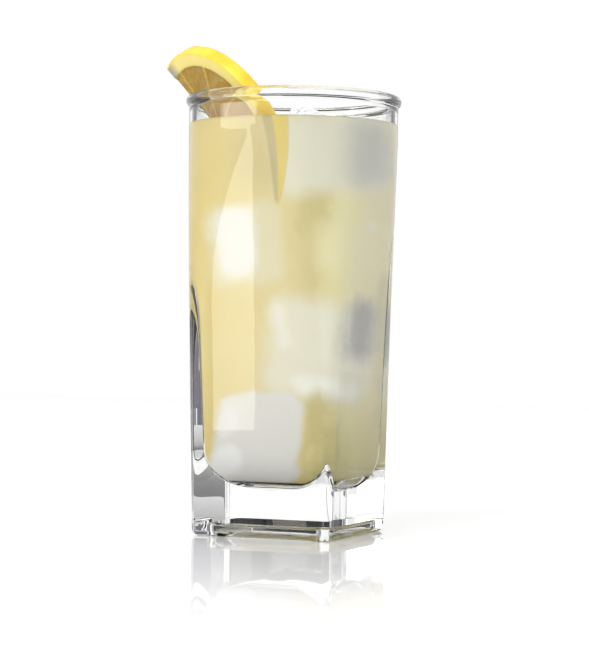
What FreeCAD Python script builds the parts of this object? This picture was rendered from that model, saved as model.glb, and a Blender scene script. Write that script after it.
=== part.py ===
"""A tall glass of cloudy lemonade with ice and a half slice of lemon, in millimetres, +Z up.

The glass is round at its rim and turns square towards a thick solid base. Its cavity does the same,
with a dished floor. The lemonade fills the cavity up to a set level, and one ice cube floats proud of
it. The lemon hangs over the rim: its cut edge is notched for the wall, its lower end is in the drink.
The origin is the middle of the underside, and the square's flats face +X, -X, +Y and -Y.
"""

import FreeCAD
import Part
import math
import os

# Glass, outside
GLASS_HEIGHT = 142.0
RIM_RADIUS = 34.0  # outer wall where the body has become round
ROUND_BELOW_RIM = 14.0  # how far under the rim the square has become a full circle
BASE_HALF_SIDE = 24.3  # centre to flat at the underside
BASE_CORNER_RADIUS = 2.4
SIDE_LEAN = 2.2  # how far the flats lean out evenly over the square part
SIDE_FLARE = 3.5  # power by which they flare the rest of the way to the rim
CORNER_FLARE = 3.6  # power by which the corners soften with height
FOOT_ROUNDING = 2.2
LIP_DEPTH = 3.2  # height of the rounded bead at the rim
LIP_PROUD = 1.0  # how far the bead stands out of the wall
CREST_FLAT = 0.4  # narrow level crest of the bead

# Glass, inside
RIM_WALL = 2.0
FOOT_WALL = 4.6  # wall at a flat, just above the floor
FLOOR_THICKNESS = 14.5
FLOOR_DISH = 14.0  # height over which the floor curves up into the wall
DISH_POWER = 2.5
CAVITY_CORNER_SHARE = 0.14  # corner radius over half side, at the floor
CAVITY_CORNER_FLARE = 2.6  # power by which the cavity's corners soften with height
FLOOR_FLAT_SHARE = 0.16  # size of the flat middle of the floor, of the full cavity
FOOT_RING = 1.6  # width of the flat that the glass stands on
PUNT_CORNER = 5.0
PUNT_DEPTH = 4.2  # hollow under the base
PUNT_ROUNDING = 1.0

# Contents
FILL_BELOW_RIM = 10.0
SERVING_TURN = 23.0  # degrees from -Y towards +X of the side that the garnish faces
SEAT_CLEARANCE = 0.3  # between the lemon's notch and the rim
ICE_CLEARANCE = 0.46  # between the lemon's back and the ice cube

LEMON_RADIUS = 29.9
LEMON_THICKNESS = 4.6
LEMON_TAPER = 0.4  # the front face is this much smaller than the back one
LEMON_EDGE = 0.5
LEMON_INSIDE_RIM = 10.6  # middle of the cut edge, inwards from the outer wall at the left
LEMON_AWAY = -1.5
LEMON_BELOW_RIM = 12.7
LEMON_CUT_EDGE = (0.629, -0.192, -0.753)  # down along the cut edge
LEMON_CROWN = (0.257, -0.863, 0.435)  # from the cut edge to the top of the peel

CUBE_SIDE = 27.0
CUBE_ROUNDING = 4.0
CUBE_BELOW_FILL = 10.2  # its middle, under the drink's surface
CUBE_ASIDE = -11.35  # its middle, along the lemon's back from the lemon's middle
CUBE_PEAK = (-0.42, 0.10, 0.90)  # where the raised corner points
CUBE_SPIN = 20.0  # degrees about that corner

# Bearings of a section's points between the middle of a flat and its corner, closer at the corner
BEARINGS = (0, 6, 12, 18, 23, 28, 32, 35.5, 38, 40, 41.5, 42.5, 43.4, 44.2, 45)

# What follows from the sizes above
ROUND_HEIGHT = GLASS_HEIGHT - ROUND_BELOW_RIM
FILL_LEVEL = GLASS_HEIGHT - FILL_BELOW_RIM
PUNT_HALF_SIDE = BASE_HALF_SIDE - FOOT_ROUNDING - FOOT_RING
LEMON_MIDDLE = (LEMON_INSIDE_RIM - RIM_RADIUS, LEMON_AWAY, GLASS_HEIGHT - LEMON_BELOW_RIM)


def served(across, away, up=0.0):
    """A point or direction given from the serving side, turned into the part's own frame."""
    turn = math.radians(SERVING_TURN)
    return FreeCAD.Vector(
        across * math.cos(turn) - away * math.sin(turn),
        across * math.sin(turn) + away * math.cos(turn),
        up,
    )


def rounded_square_radius(half_side, corner_radius, bearing):
    """Distance from the middle of a rounded square to its edge, at a bearing from a flat's middle."""
    reach = half_side - corner_radius
    cosine, sine = math.cos(bearing), math.sin(bearing)
    if half_side * sine <= reach * cosine:
        return half_side / cosine
    aside = reach * (cosine - sine)
    return reach * (cosine + sine) + math.sqrt(corner_radius ** 2 - aside ** 2)


def section(half_side, corner_radius, height):
    """A closed rounded square whose points keep the same bearings at every height."""
    half = [math.radians(bearing) for bearing in BEARINGS]
    folded = [(turn, turn) for turn in half] + [(math.pi / 2 - turn, turn) for turn in half[-2:0:-1]]
    angles, points = [], []
    for quarter in range(4):
        for angle, bearing in folded:
            distance = rounded_square_radius(half_side, corner_radius, bearing)
            angles.append(angle + quarter * math.pi / 2)
            points.append(FreeCAD.Vector(
                distance * math.cos(angles[-1]), distance * math.sin(angles[-1]), height))
    curve = Part.BSplineCurve()
    curve.interpolate(Points=points, PeriodicFlag=True, Parameters=angles + [2 * math.pi])
    return Part.Wire([curve.toShape()])


def body_share(height):
    return min(1.0, max(0.0, height) / ROUND_HEIGHT)


def outer_half_side(height):
    share = body_share(height)
    flare = RIM_RADIUS - BASE_HALF_SIDE - SIDE_LEAN
    return BASE_HALF_SIDE + SIDE_LEAN * share + flare * share ** SIDE_FLARE


def outer_corner(height):
    return BASE_CORNER_RADIUS + (RIM_RADIUS - BASE_CORNER_RADIUS) * body_share(height) ** CORNER_FLARE


def outer_shape():
    """The glass's outside as one closed loft: foot, body and the bead at the rim."""
    sections = []
    for step in range(4):
        angle = math.radians(30 * step)
        inset = FOOT_ROUNDING * (1 - math.sin(angle))
        height = FOOT_ROUNDING * (1 - math.cos(angle))
        corner = max(outer_corner(height) - inset, 0.3 * BASE_CORNER_RADIUS)
        sections.append((outer_half_side(height) - inset, corner, height))
    body_steps = 16
    for step in range(1, body_steps + 1):
        height = FOOT_ROUNDING + (ROUND_HEIGHT - FOOT_ROUNDING) * step / body_steps
        sections.append((outer_half_side(height), outer_corner(height), height))
    sections.append((RIM_RADIUS, RIM_RADIUS, GLASS_HEIGHT - LIP_DEPTH - 2 * LIP_PROUD))
    lip_steps = 10
    crest = RIM_RADIUS - RIM_WALL / 2 + CREST_FLAT / 2
    for step in range(lip_steps + 1):
        angle = math.radians(-90 + 180 * step / lip_steps)
        foot = RIM_RADIUS if angle < 0 else crest
        radius = foot + (RIM_RADIUS + LIP_PROUD - foot) * math.cos(angle)
        height = GLASS_HEIGHT - LIP_DEPTH / 2 + LIP_DEPTH / 2 * math.sin(angle)
        sections.append((radius, radius, height))
    return Part.makeLoft([section(*values) for values in sections], True, True)


def cavity_half_side(height):
    """Half side of the cavity: the wall thins with height, and the floor is dished."""
    thin = (1 - body_share(height)) ** 2
    full = outer_half_side(height) - RIM_WALL - (FOOT_WALL - RIM_WALL) * thin
    lift = (height - FLOOR_THICKNESS) / FLOOR_DISH
    if lift >= 1:
        return full
    curve = (1 - (1 - lift) ** DISH_POWER) ** (1 / DISH_POWER)
    return full * max(curve, FLOOR_FLAT_SHARE)


def cavity_corner(height):
    rounded = body_share(height) ** CAVITY_CORNER_FLARE
    return cavity_half_side(height) * (CAVITY_CORNER_SHARE + (1 - CAVITY_CORNER_SHARE) * rounded)


def cavity_shape(top):
    """The inside of the glass up to a height, as one closed loft."""
    heights = [FLOOR_THICKNESS + FLOOR_DISH * (step / 12) ** 2 for step in range(13)]
    wall_steps = 14
    foot = heights[-1]
    heights += [foot + (ROUND_HEIGHT - foot) * step / wall_steps for step in range(1, wall_steps + 1)]
    wires = [section(cavity_half_side(height), cavity_corner(height), height) for height in heights]
    if top > GLASS_HEIGHT:
        bore, mouth = RIM_RADIUS - RIM_WALL, RIM_RADIUS - RIM_WALL / 2 - CREST_FLAT / 2
        lip_steps = 5
        for step in range(lip_steps + 1):
            angle = math.radians(90 * step / lip_steps)
            radius = bore + (mouth - bore) * (1 - math.cos(angle))
            wires.append(section(radius, radius, GLASS_HEIGHT + (mouth - bore) * (math.sin(angle) - 1)))
        wires.append(section(mouth, mouth, top))
    else:
        wires.append(section(cavity_half_side(top), cavity_corner(top), top))
    return Part.makeLoft(wires, True, True)


def punt_shape():
    """The shallow hollow under the base, which leaves a flat foot around it."""
    width = 2 * PUNT_HALF_SIDE
    block = Part.makeBox(width, width, 2 * PUNT_DEPTH,
                         FreeCAD.Vector(-PUNT_HALF_SIDE, -PUNT_HALF_SIDE, -PUNT_DEPTH))
    upright = [edge for edge in block.Edges if edge.BoundBox.ZLength > PUNT_DEPTH]
    block = block.makeFillet(PUNT_CORNER, upright)
    rim = [edge for edge in block.Edges if edge.BoundBox.ZMin > PUNT_DEPTH / 2]
    return block.makeFillet(PUNT_ROUNDING, rim)


def glass():
    above = GLASS_HEIGHT + RIM_WALL
    return outer_shape().cut(cavity_shape(above)).cut(punt_shape())


def lemon_axes():
    """The slice's directions: down its cut edge, to its crown and out of its front."""
    down = served(*LEMON_CUT_EDGE).normalize()
    crown = served(*LEMON_CROWN)
    crown = (crown - down * crown.dot(down)).normalize()
    return down, crown, down.cross(crown)


def lemon_blank():
    """Half a round slice: its smaller face looks to the front, its cut edge runs down into the glass."""
    down, crown, front = lemon_axes()
    half = Part.makeCone(LEMON_RADIUS, LEMON_RADIUS - LEMON_TAPER, LEMON_THICKNESS,
                         FreeCAD.Vector(0, 0, -LEMON_THICKNESS), FreeCAD.Vector(0, 0, 1), 180)
    arcs = [edge for edge in half.Edges if isinstance(edge.Curve, Part.Circle)]
    half = half.makeFillet(LEMON_EDGE, arcs)
    middle = served(*LEMON_MIDDLE)
    return half.transformed(FreeCAD.Matrix(
        down.x, crown.x, front.x, middle.x,
        down.y, crown.y, front.y, middle.y,
        down.z, crown.z, front.z, middle.z,
        0, 0, 0, 1,
    ))


def wall_clearance():
    """The rim's wall, thickened by the seat clearance, which notches the lemon."""
    low = ROUND_HEIGHT - 30
    outer = Part.makeCylinder(RIM_RADIUS + LIP_PROUD + SEAT_CLEARANCE, GLASS_HEIGHT + SEAT_CLEARANCE - low,
                              FreeCAD.Vector(0, 0, low))
    wires = [
        section(cavity_half_side(height) - SEAT_CLEARANCE, cavity_corner(height) - SEAT_CLEARANCE, height)
        for height in (low, low + 10, low + 20, ROUND_HEIGHT, GLASS_HEIGHT + 5)
    ]
    return outer.cut(Part.makeLoft(wires, True, True))


def lemon_slice():
    pieces = lemon_blank().cut(wall_clearance()).Solids
    return max(pieces, key=lambda piece: piece.Volume)


def cube_middle(turn):
    """Where the cube floats: at its depth, and as near to the lemon's back as its clearance lets it."""
    back = -lemon_axes()[2]
    level = FreeCAD.Vector(back.x, back.y, 0).normalize()
    aside = FreeCAD.Vector(-level.y, level.x, 0)
    axes = [turn.multVec(FreeCAD.Vector(*axis)) for axis in ((1, 0, 0), (0, 1, 0), (0, 0, 1))]
    reach = CUBE_ROUNDING + (CUBE_SIDE / 2 - CUBE_ROUNDING) * sum(abs(back.dot(axis)) for axis in axes)
    middle = served(*LEMON_MIDDLE) + aside * CUBE_ASIDE
    middle.z = FILL_LEVEL - CUBE_BELOW_FILL
    stand_off = back.dot(middle - served(*LEMON_MIDDLE))
    return middle + level * ((LEMON_THICKNESS + ICE_CLEARANCE + reach - stand_off) / back.dot(level))


def floating_cube():
    """The ice cube that shows above the drink, rounded where it has begun to melt."""
    cube = Part.makeBox(CUBE_SIDE, CUBE_SIDE, CUBE_SIDE, FreeCAD.Vector(*[-CUBE_SIDE / 2] * 3))
    cube = cube.makeFillet(CUBE_ROUNDING, cube.Edges)
    peak = served(*CUBE_PEAK)
    lift = FreeCAD.Rotation(FreeCAD.Vector(1, 1, 1), peak)
    spin = FreeCAD.Rotation(peak, CUBE_SPIN)
    turn = spin.multiply(lift)
    cube.Placement = FreeCAD.Placement(cube_middle(turn), turn)
    return cube


def lemonade(lemon, cube):
    return cavity_shape(FILL_LEVEL).cut(lemon).cut(cube)


def main():
    os.makedirs("parts", exist_ok=True)
    lemon = lemon_slice()
    cube = floating_cube()
    solids = {
        "glass": glass(),
        "lemon_slice": lemon,
        "ice_cube": cube,
        "lemonade": lemonade(lemon, cube),
    }
    for name, solid in solids.items():
        solid.exportStep(f"parts/{name}.step")
        box = solid.BoundBox
        print(name, len(solid.Solids), solid.isValid(), round(solid.Volume), "mm3",
              [round(value, 1) for value in (box.XMin, box.XMax, box.YMin, box.YMax, box.ZMin, box.ZMax)])


main()
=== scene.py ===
import logging
import math
from dataclasses import dataclass
from enum import Enum
from typing import Any, Optional, Sequence, Union

import bmesh
import bpy
from mathutils import Matrix, Vector, noise


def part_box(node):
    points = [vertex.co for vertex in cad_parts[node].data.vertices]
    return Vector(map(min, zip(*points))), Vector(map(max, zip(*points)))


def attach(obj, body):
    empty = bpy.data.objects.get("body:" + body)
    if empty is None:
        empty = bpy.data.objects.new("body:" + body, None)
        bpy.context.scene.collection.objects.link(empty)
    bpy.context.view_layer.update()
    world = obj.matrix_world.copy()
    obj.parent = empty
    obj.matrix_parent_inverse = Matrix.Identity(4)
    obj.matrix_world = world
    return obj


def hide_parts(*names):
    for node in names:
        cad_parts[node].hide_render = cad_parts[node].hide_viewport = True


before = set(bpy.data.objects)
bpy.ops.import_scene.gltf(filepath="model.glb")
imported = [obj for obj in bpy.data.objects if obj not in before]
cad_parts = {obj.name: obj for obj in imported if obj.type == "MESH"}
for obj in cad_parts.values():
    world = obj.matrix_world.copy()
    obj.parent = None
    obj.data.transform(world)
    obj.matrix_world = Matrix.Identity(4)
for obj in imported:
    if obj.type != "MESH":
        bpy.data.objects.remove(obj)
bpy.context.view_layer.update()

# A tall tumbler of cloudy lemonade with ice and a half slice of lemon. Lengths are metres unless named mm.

MM = 0.001
SERVING_TURN = math.radians(23.0)  # from -Y towards +X: the side that the garnish faces
QUARTER = math.pi / 2
FILL_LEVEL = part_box("lemonade")[1][2]
FLOOR_OF_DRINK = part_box("lemonade")[0][2]
GLASS_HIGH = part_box("glass")[1]

WHITE = (1.0, 1.0, 1.0, 1.0)
BLACK = (0.0, 0.0, 0.0, 1.0)
SOFT_WHITE = (0.95, 0.95, 0.95, 1.0)  # what a card looks like to the light that the drink scatters

log = logging.getLogger("lemonade")
Colour = tuple[float, float, float, float]
Number = Union[float, int, "Term"]


def served(across: float, away: float, up: float = 0.0) -> Vector:
    """A point or direction seen from the serving side, turned into the row frame.

    Args:
        across: to the right of the person served.
        away: away from them.
        up: height.

    Returns:
        The same point or direction in the row frame.
    """
    cosine, sine = math.cos(SERVING_TURN), math.sin(SERVING_TURN)
    return Vector((across * cosine - away * sine, across * sine + away * cosine, up))


def tint(red: float, green: float, blue: float, alpha: float = 1.0) -> Colour:
    """Turns a colour of 0 to 255 per channel, as a painter would mix it, into linear light.

    Args:
        red: red, 0 to 255.
        green: green, 0 to 255.
        blue: blue, 0 to 255.
        alpha: cover, 0 to 1.

    Returns:
        The linear colour.
    """
    def linear(channel: float) -> float:
        """One channel in linear light."""
        share = channel / 255
        return share / 12.92 if share <= 0.04045 else ((share + 0.055) / 1.055) ** 2.4
    return linear(red), linear(green), linear(blue), alpha


def behind_glass(look: Colour, leaves: float = 0.66, passed: float = 0.93, haze: float = 0.04) -> Colour:
    """The matte colour that looks as wanted when it lies against glass.

    Glass sends part of the light that a matte surface gives back to it, so the surface must be paler.

    Args:
        look: the linear colour to be seen.
        leaves: the share of its light that gets out of the glass at once.
        passed: the share of light that crosses the glass's surface both ways.
        haze: what the glass's own reflections add.

    Returns:
        The linear colour of the surface.
    """
    red, green, blue = (
        min(0.985, max(0.0, channel - haze) / (passed * leaves + (1 - leaves) * max(0.0, channel - haze)))
        for channel in look[:3])
    return red, green, blue, look[3]


# ---------------------------------------------------------------- node arithmetic

class Term:
    """A number socket of a node tree that takes part in Python arithmetic."""

    def __init__(self, graph: "Graph", socket: bpy.types.NodeSocket) -> None:
        """Keeps the socket and the graph that it belongs to."""
        self.graph = graph
        self.socket = socket

    def join(self, operation: str, *others: Number) -> "Term":
        """Adds a Math node.

        Args:
            operation: the Math node's operation.
            others: its further operands.

        Returns:
            The result.
        """
        return self.graph.maths(operation, self, *others)

    def __add__(self, other: Number) -> "Term":
        """self + other."""
        return self.join("ADD", other)

    def __sub__(self, other: Number) -> "Term":
        """self - other."""
        return self.join("SUBTRACT", other)

    def __rsub__(self, other: Number) -> "Term":
        """other - self."""
        return self.graph.maths("SUBTRACT", other, self)

    def __mul__(self, other: Number) -> "Term":
        """self * other."""
        return self.join("MULTIPLY", other)

    def __truediv__(self, other: Number) -> "Term":
        """self / other."""
        return self.join("DIVIDE", other)

    def __rtruediv__(self, other: Number) -> "Term":
        """other / self."""
        return self.graph.maths("DIVIDE", other, self)

    def __pow__(self, other: Number) -> "Term":
        """self to the power other."""
        return self.join("POWER", other)

    __radd__ = __add__
    __rmul__ = __mul__

    def sine(self) -> "Term":
        """The sine of an angle in radians."""
        return self.join("SINE")

    def cosine(self) -> "Term":
        """The cosine of an angle in radians."""
        return self.join("COSINE")

    def root(self) -> "Term":
        """The square root, 0 below zero."""
        return self.most(0.0).join("SQRT")

    def size(self) -> "Term":
        """The value without its sign."""
        return self.join("ABSOLUTE")

    def most(self, other: Number) -> "Term":
        """The larger of two values."""
        return self.join("MAXIMUM", other)

    def least(self, other: Number) -> "Term":
        """The smaller of two values."""
        return self.join("MINIMUM", other)

    def above(self, edge: Number) -> "Term":
        """1 where the value is over the edge, else 0."""
        return self.join("GREATER_THAN", edge)

    def rise(self, low: float, high: float) -> "Term":
        """A soft step.

        Args:
            low: where the step starts.
            high: where it ends; lower than low for a step that falls.

        Returns:
            0 before low, 1 after high, smooth between.
        """
        share = ((self - low) * (1.0 / (high - low))).most(0.0).least(1.0)
        return share * share * (3.0 - 2.0 * share)


class Graph:
    """A shader, world or geometry node tree with one way to add a node."""

    def __init__(self, tree: bpy.types.NodeTree) -> None:
        """Keeps the tree."""
        self.tree = tree

    def feed(self, socket: bpy.types.NodeSocket, value: Any) -> None:
        """Gives a socket a value or a link.

        Args:
            socket: the input.
            value: a Term, another node's output socket, or a plain value.
        """
        if isinstance(value, Term):
            self.tree.links.new(value.socket, socket)
        elif isinstance(value, bpy.types.NodeSocket):
            self.tree.links.new(value, socket)
        else:
            socket.default_value = value

    def add(self, kind: str, settings: Optional[dict[str, Any]] = None,
            inputs: Optional[dict[Union[str, int], Any]] = None) -> bpy.types.Node:
        """Adds any node.

        Args:
            kind: the node's type.
            settings: its own settings, such as operation; stops is a colour ramp's list of stops.
            inputs: values or links, by a socket's identifier, name or number.

        Returns:
            The node.
        """
        node = self.tree.nodes.new(kind)
        for name, value in (settings or {}).items():
            if name == "stops":
                ramp = node.color_ramp
                while len(ramp.elements) > 1:
                    ramp.elements.remove(ramp.elements[-1])
                ramp.elements[0].position, ramp.elements[0].color = value[0]
                for place, colour in value[1:]:
                    ramp.elements.new(place).color = colour
            else:
                setattr(node, name, value)
        by_identifier = {socket.identifier: socket for socket in node.inputs}
        for name, value in (inputs or {}).items():
            socket = by_identifier.get(name) if isinstance(name, str) else None
            self.feed(node.inputs[name] if socket is None else socket, value)
        return node

    def maths(self, operation: str, *operands: Number) -> Term:
        """Adds a Math node.

        Args:
            operation: its operation.
            operands: its operands in order.

        Returns:
            The result.
        """
        node = self.add("ShaderNodeMath", {"operation": operation}, dict(enumerate(operands)))
        return Term(self, node.outputs[0])

    def parts(self, vector: bpy.types.NodeSocket) -> tuple[Term, Term, Term]:
        """The three numbers of a vector socket."""
        node = self.add("ShaderNodeSeparateXYZ", inputs={"Vector": vector})
        return Term(self, node.outputs[0]), Term(self, node.outputs[1]), Term(self, node.outputs[2])

    def vector(self, x: Number, y: Number, z: Number) -> bpy.types.NodeSocket:
        """A vector socket from three numbers."""
        return self.add("ShaderNodeCombineXYZ", inputs={"X": x, "Y": y, "Z": z}).outputs[0]

    def blend(self, share: Number, first: Any, second: Any, how: str = "MIX") -> bpy.types.NodeSocket:
        """Mixes two colours.

        Args:
            share: 0 for the first, 1 for the second.
            first: a colour or a colour socket.
            second: a colour or a colour socket.
            how: the Mix node's blend type.

        Returns:
            The mixed colour.
        """
        node = self.add("ShaderNodeMix", {"data_type": "RGBA", "blend_type": how},
                        {"Factor_Float": share, "A_Color": first, "B_Color": second})
        return next(socket for socket in node.outputs if socket.identifier == "Result_Color")

    def noise(self, where: bpy.types.NodeSocket, scale: float, detail: float = 2.0,
              warp: float = 0.0) -> Term:
        """A cloudy pattern from 0 to 1.

        Args:
            where: the coordinates that it is read at.
            scale: its scale.
            detail: its octaves.
            warp: its distortion.

        Returns:
            The pattern.
        """
        node = self.add("ShaderNodeTexNoise", inputs={
            "Vector": where, "Scale": scale, "Detail": detail, "Distortion": warp})
        return Term(self, node.outputs[0])

    def bump(self, height: Term, depth_mm: float, strength: float = 1.0) -> bpy.types.NodeSocket:
        """A normal that follows a pattern's height, which is worth depth_mm where the pattern is 1."""
        return self.add("ShaderNodeBump", inputs={
            "Strength": strength, "Distance": depth_mm * MM, "Height": height}).outputs[0]

    def principled(self, inputs: dict[Union[str, int], Any]) -> bpy.types.NodeSocket:
        """A Principled shader with these inputs."""
        return self.add("ShaderNodeBsdfPrincipled", inputs=inputs).outputs[0]

    def mirror(self, roughness: float = 0.0) -> bpy.types.NodeSocket:
        """A white mirror."""
        return self.add("ShaderNodeBsdfGlossy", inputs={"Color": WHITE, "Roughness": roughness}).outputs[0]

    def layered(self, share: Number, first: bpy.types.NodeSocket,
                second: bpy.types.NodeSocket) -> bpy.types.NodeSocket:
        """Two shaders mixed: 0 for the first, 1 for the second."""
        return self.add("ShaderNodeMixShader", inputs={0: share, 1: first, 2: second}).outputs[0]

    def ray(self, kind: str) -> Term:
        """What the Light Path node says of the ray, such as Is Camera Ray."""
        return Term(self, self.add("ShaderNodeLightPath").outputs[kind])

    def seen(self) -> Term:
        """1 for the camera's own rays and those that reach it by way of glass or a mirror."""
        return self.ray("Is Camera Ray").most(self.ray("Is Glossy Ray")).most(self.ray("Is Transmission Ray"))

    def unscattered(self) -> Term:
        """1 for rays that have met no matte surface on their way."""
        return 1.0 - self.ray("Diffuse Depth").above(0.5)


@dataclass(frozen=True)
class Finish:
    """A named surface finish that builds its own material."""

    name: str

    def begin(self) -> tuple[bpy.types.Material, Graph]:
        """An empty material and its graph.

        Returns:
            The material and its graph.
        """
        material = bpy.data.materials.new(self.name)
        material.use_nodes = True
        material.node_tree.nodes.clear()
        return material, Graph(material.node_tree)

    def end(self, graph: Graph, surface: bpy.types.NodeSocket) -> None:
        """Joins the surface's shader to the material's output."""
        graph.add("ShaderNodeOutputMaterial", inputs={"Surface": surface})

    def place(self, graph: Graph) -> bpy.types.NodeSocket:
        """Object coordinates as across, away and up from the serving side, in millimetres.

        Args:
            graph: the material's graph.

        Returns:
            The coordinates.
        """
        own = graph.add("ShaderNodeTexCoord").outputs["Object"]
        return graph.add("ShaderNodeMapping", inputs={
            "Vector": own, "Rotation": (0.0, 0.0, -SERVING_TURN), "Scale": (1 / MM,) * 3}).outputs[0]


# ---------------------------------------------------------------- finishes

@dataclass(frozen=True)
class ClearGlass(Finish):
    """Polished pressed glass, very slightly wavy, with painted shade: a thin dark line where the wall is seen
    edge on.
    """

    index: float = 1.5
    body: Colour = tint(254, 255, 254)
    # edge_shade: painted shade, the grey of the thin dark line where the wall is seen edge on
    edge_shade: Colour = tint(96, 98, 94)  # of the thin dark line where the wall is seen edge on
    edge_from: float = 0.84
    edge_full: float = 0.98
    edge_strength: float = 0.75
    edge_low_mm: float = 4.0  # the foot below this height has no such line
    edge_high_mm: float = 8.0
    wave_mm: float = 14.0
    wave_height_mm: float = 0.010

    def material(self) -> bpy.types.Material:
        """Builds the material.

        Returns:
            The material.
        """
        material, graph = self.begin()
        where = self.place(graph)
        wave = graph.noise(where, 1 / self.wave_mm, 1.0)
        _, _, up = graph.parts(where)
        facing = Term(graph, graph.add("ShaderNodeLayerWeight", inputs={"Blend": 0.5}).outputs["Facing"])
        # painted shade: a grey surface mixed in where the wall is seen edge on
        edge = facing.rise(self.edge_from, self.edge_full) * up.rise(self.edge_low_mm, self.edge_high_mm)
        clear = graph.principled({
            "Base Color": self.body, "Roughness": 0.0, "IOR": self.index, "Transmission Weight": 1.0,
            "Normal": graph.bump(wave, self.wave_height_mm)})
        shaded = graph.principled({"Base Color": self.edge_shade, "Roughness": 0.4, "IOR": 1.05})
        share = edge * graph.unscattered() * self.edge_strength
        self.end(graph, graph.layered(share, clear, shaded))
        return material


@dataclass(frozen=True)
class IceAndPaintedLightPatch:
    """A soft area painted on the drink's surface, seen from the serving side, in mm: sunk ice, painted shade
    or a painted highlight.
    """

    across: float
    up: float
    half_width: float
    half_height: float
    tilt: float  # degrees
    soft: float
    strength: float
    colour: Colour


@dataclass(frozen=True)
class CloudyDrink(Finish):
    """Cloudy lemonade with painted light and shade; the sunk ice and lemon show on it as soft areas."""

    index: float = 1.33
    wall_index: float = 1.5
    patches: tuple[IceAndPaintedLightPatch, ...] = ()
    # bands: the drink's pale yellow with painted light and shade, lighter and darker from side to side
    bands: tuple[tuple[float, Colour], ...] = (
        (0.00, tint(216, 190, 116)), (0.10, tint(226, 203, 132)), (0.30, tint(232, 211, 148)),
        (0.45, tint(233, 215, 156)), (0.60, tint(214, 199, 138)), (0.76, tint(252, 240, 180)),
        (0.88, tint(246, 233, 182)), (1.00, tint(238, 227, 182)))
    # low_shade: painted shade, darker towards the bottom
    low_shade: Colour = tint(214, 205, 172)
    low_share: float = 0.25
    half_width_mm: float = 33.0
    patch_corner_mm: float = 5.0
    swirl_mm: float = 16.0
    fine_mm: float = 2.2
    rind: Colour = tint(236, 206, 110)
    sunk_pith: Colour = tint(186, 172, 126)
    sunk_flesh: Colour = tint(206, 188, 142)
    speck: Colour = tint(252, 244, 214)

    def patch_mask(self, across: Term, up: Term, patch: IceAndPaintedLightPatch, wobble: Term) -> Term:
        """How far a point is inside a patch of painted ice, shade or highlight, from 0 to its strength.

        Args:
            across: the point's place across, in mm.
            up: its height, in mm.
            patch: the patch.
            wobble: uneven offset of the patch's edge, in mm.

        Returns:
            The mask.
        """
        angle = math.radians(patch.tilt)
        x, z = across - patch.across, up - patch.up
        along = (x * math.cos(angle) + z * math.sin(angle)).size() - patch.half_width
        over = (z * math.cos(angle) - x * math.sin(angle)).size() - patch.half_height
        corner = self.patch_corner_mm
        outside = ((along + corner).most(0.0) ** 2.0 + (over + corner).most(0.0) ** 2.0).root() - corner
        return (outside + wobble).rise(patch.soft, -patch.soft) * patch.strength

    def sunk_slice(self, graph: Graph, colour: bpy.types.NodeSocket, across: Term, up: Term,
                   away: Term) -> bpy.types.NodeSocket:
        """The part of the lemon slice that hangs in the drink, close behind its surface.

        Args:
            graph: the material's graph.
            colour: the drink's colour.
            across: the point's place across, in mm.
            up: its height, in mm.
            away: its place away from the serving side, in mm.

        Returns:
            The colour with the slice showing through.
        """
        bend, tip, height, widest = 119.0, 104.5, 27.5, 2.4  # of the rind's band, in mm
        front = away.rise(2.0, -4.0)
        sag = (up - bend) * (1 / 14.0)
        middle = -3.3 - sag * sag * 1.1
        lifted = (up - tip) * (1 / height)
        half = lifted.most(0.0) ** 0.75 * widest
        off = across - middle
        there = lifted.rise(0.0, 0.1) * front
        flesh = ((off * -1.0).rise(0.0, 3.0) * (across + 24.0).rise(0.0, 12.0)
                 * (up + across * 0.35 - 105.0).rise(-3.0, 8.0) * front)
        colour = graph.blend(flesh * 0.45, colour, behind_glass(self.sunk_flesh))
        pith_half = half + lifted.most(0.0) ** 0.5 * 3.0
        pith = (off + pith_half).rise(-0.6, 0.5) * (half - off).rise(-0.6, 0.4)
        colour = graph.blend(pith * there * 0.72, colour, behind_glass(self.sunk_pith))
        rind = (half - off.size()).rise(-0.35, 0.45)
        return graph.blend(rind * there * 0.85, colour, behind_glass(self.rind))

    def material(self) -> bpy.types.Material:
        """Builds the material.

        Returns:
            The material.
        """
        material, graph = self.begin()
        where = self.place(graph)
        across, away, up = graph.parts(where)
        swirl = graph.noise(where, 1 / self.swirl_mm, 2.0, 0.6) - 0.5
        fine = graph.noise(where, 1 / self.fine_mm, 3.0) - 0.5
        # painted light and shade from side to side
        shifted = across * (0.5 / self.half_width_mm) + 0.5 + swirl * 0.10
        stops = [(stop, behind_glass(look)) for stop, look in self.bands]
        bands = graph.add("ShaderNodeValToRGB", {"stops": stops}, {"Fac": shifted}).outputs[0]
        # painted shade towards the bottom
        low = up.rise(62.0, 26.0) * self.low_share
        colour = graph.blend(low, bands, self.low_shade, "MULTIPLY")
        wobble = swirl * 7.0 + fine * 1.5
        # the sunk ice painted on, with painted shade and painted highlights among it
        for patch in self.patches:
            mask = self.patch_mask(across, up, patch, wobble)
            colour = graph.blend(mask, colour, behind_glass(patch.colour))
        colour = self.sunk_slice(graph, colour, across, up, away)
        colour = graph.blend(fine * 0.10 + 0.05, colour, self.speck)
        cloudy = graph.principled({"Base Color": colour, "Roughness": 0.55, "IOR": 1.05})
        total = graph.add("ShaderNodeFresnel", inputs={"IOR": self.index / self.wall_index})
        against_wall = (FILL_LEVEL / MM - up).above(0.0)
        share = Term(graph, total.outputs[0]) * against_wall
        self.end(graph, graph.layered(share, cloudy, graph.mirror()))
        return material


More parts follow.
